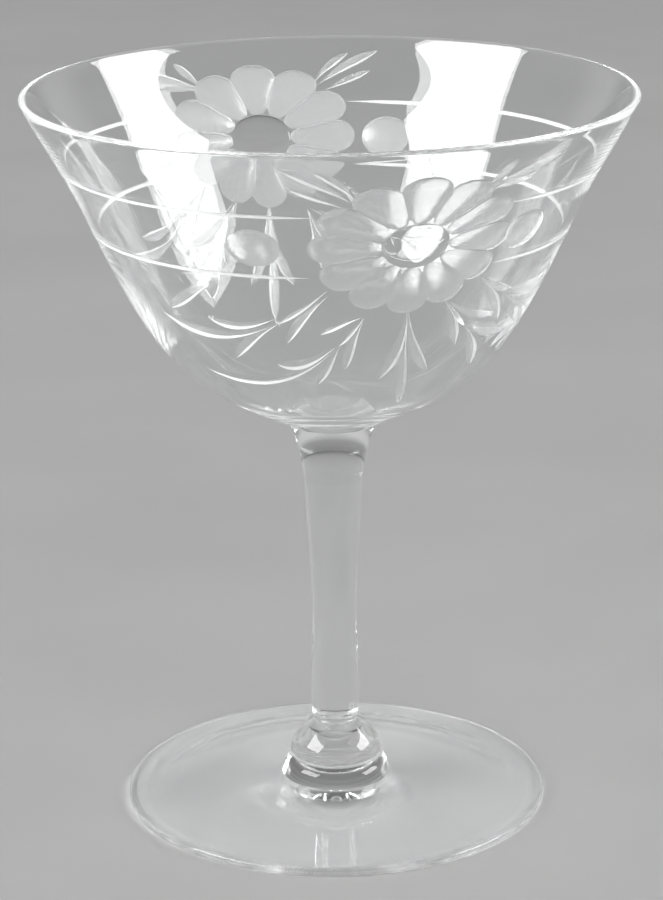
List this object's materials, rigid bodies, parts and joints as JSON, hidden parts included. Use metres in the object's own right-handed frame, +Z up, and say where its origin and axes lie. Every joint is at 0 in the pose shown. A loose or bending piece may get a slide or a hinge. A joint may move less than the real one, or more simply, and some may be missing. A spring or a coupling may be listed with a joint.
{
  "type": "sherbet glass",
  "caption": "Clear stemmed sherbet glass: a flared bowl with wheel-cut flower sprays, on a slim stem with a ball knop, a collar and a round foot.",
  "frame": {"origin": "centre of the foot's underside, on the surface the glass stands on", "axes": "+Z up along the stem, -Y towards the side that the picture shows, +X to that viewer's right"},
  "size_m": [0.098, 0.098, 0.12],
  "materials": {
    "foot_glass": "clear, fire polished",
    "knop_glass": "clear, fire polished",
    "stem_glass": "clear, fire polished",
    "bowl_glass": "clear, with grey wheel-cut flowers and leaves"
  },
  "bodies": {
    "root": {"foot": "foot_glass", "merese": "knop_glass", "knop": "knop_glass", "stem": "stem_glass", "bowl": "bowl_glass"}
  },
  "joints": []
}
